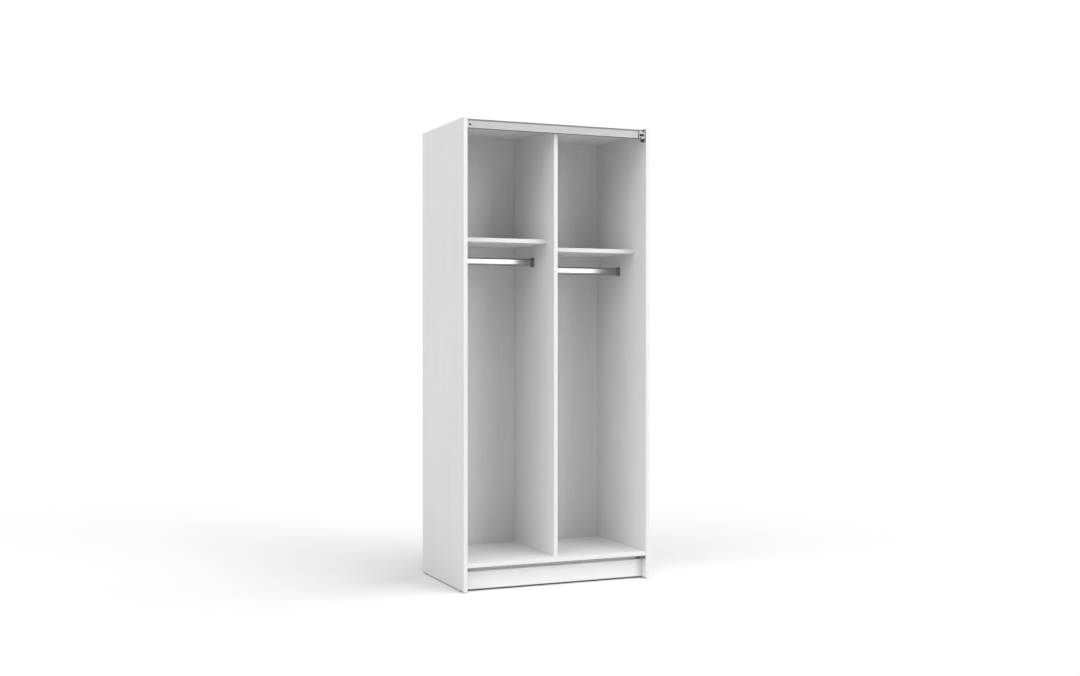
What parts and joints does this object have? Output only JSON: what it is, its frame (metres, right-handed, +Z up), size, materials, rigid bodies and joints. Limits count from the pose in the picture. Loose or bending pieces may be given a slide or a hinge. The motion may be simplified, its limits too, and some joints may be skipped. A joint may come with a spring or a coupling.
{
  "type": "wardrobe",
  "caption": "Tall white two-bay wardrobe carcass for overlay sliding doors: shelf and hanging rail in each bay, top running rail, lower guide, recessed plinth.",
  "frame": {"origin": "on the floor under the middle of the box that encloses the wardrobe", "axes": "+Z up; +X to the right seen from the front; +Y from the open front towards the back"},
  "size_m": [0.79, 0.49, 1.8],
  "materials": {
    "white_melamine": "matt white melamine with a faint vertical grain",
    "white_hdf": "matt white lacquered hardboard",
    "chrome": "bright chrome",
    "socket_zinc": "nickel-plated die-cast zinc",
    "silver_aluminium": "satin silver",
    "grey_profile": "grey anodised",
    "black_plastic": "moulded nylon",
    "black_rubber": "moulded rubber",
    "zinc_steel": "bright zinc plate",
    "black_zinc_screw": "black zinc plate",
    "grey_glide_plastic": "moulded polyethylene"
  },
  "bodies": {
    "carcass": {"back_sheet_left": "white_hdf", "back_sheet_right": "white_hdf", "bottom_panel": "white_melamine", "centre_divider": "white_melamine", "cover_screw_left": "black_zinc_screw", "cover_screw_right": "black_zinc_screw", "guide_rail": "grey_profile", "guide_rail_screw_1": "black_zinc_screw", "guide_rail_screw_2": "black_zinc_screw", "guide_rail_screw_3": "black_zinc_screw", "guide_stop_left": "black_rubber", "guide_stop_right": "black_rubber", "hanging_rail_left": "chrome", "hanging_rail_right": "chrome", "plinth_front": "white_melamine", "plinth_glide_front_left": "grey_glide_plastic", "plinth_glide_front_right": "grey_glide_plastic", "plinth_glide_rear_left": "grey_glide_plastic", "plinth_glide_rear_right": "grey_glide_plastic", "plinth_rear": "white_melamine", "rail_socket_left_bay_left": "socket_zinc", "rail_socket_left_bay_right": "socket_zinc", "rail_socket_right_bay_left": "socket_zinc", "rail_socket_right_bay_right": "socket_zinc", "rail_socket_screw_left_bay_left": "zinc_steel", "rail_socket_screw_left_bay_right": "zinc_steel", "rail_socket_screw_right_bay_left": "zinc_steel", "rail_socket_screw_right_bay_right": "zinc_steel", "run_stop_left": "black_rubber", "run_stop_right": "black_rubber", "running_rail": "grey_profile", "running_rail_screw_1": "black_zinc_screw", "running_rail_screw_2": "black_zinc_screw", "running_rail_screw_3": "black_zinc_screw", "shelf_cam_left_1": "socket_zinc", "shelf_cam_left_2": "socket_zinc", "shelf_cam_left_3": "socket_zinc", "shelf_cam_left_4": "socket_zinc", "shelf_cam_right_1": "socket_zinc", "shelf_cam_right_2": "socket_zinc", "shelf_cam_right_3": "socket_zinc", "shelf_cam_right_4": "socket_zinc", "shelf_left": "white_melamine", "shelf_right": "white_melamine", "side_glide_left_front": "grey_glide_plastic", "side_glide_left_rear": "grey_glide_plastic", "side_glide_right_front": "grey_glide_plastic", "side_glide_right_rear": "grey_glide_plastic", "side_panel_left": "white_melamine", "side_panel_right": "white_melamine", "top_panel": "white_melamine", "track_cover_strip": "silver_aluminium"},
    "roller_hanger": {"hanger_adjuster_screw_1": "black_zinc_screw", "hanger_adjuster_screw_2": "black_zinc_screw", "hanger_axle": "zinc_steel", "hanger_bracket": "zinc_steel", "hanger_bumper": "black_rubber"},
    "wheel": {"hanger_wheel": "black_plastic"},
    "shoe": {"guide_shoe": "black_plastic"}
  },
  "joints": [
    {"name": "hanger_slide", "type": "slide", "parent": "carcass", "child": "roller_hanger", "axis": [1, 0, 0], "range_m": [-0.718, 0]},
    {"name": "wheel_spin", "type": "hinge", "parent": "roller_hanger", "child": "wheel", "pos_m": [0.3594, -0.2292, 1.7753], "axis": [0, 1, 0], "continuous": true},
    {"name": "shoe_slide", "type": "slide", "parent": "carcass", "child": "shoe", "axis": [1, 0, 0], "range_m": [-0.724, 0]}
  ],
  "couplings": [
    {"joint": "wheel_spin", "follows": "hanger_slide", "rad_per_m": 90.909}
  ]
}
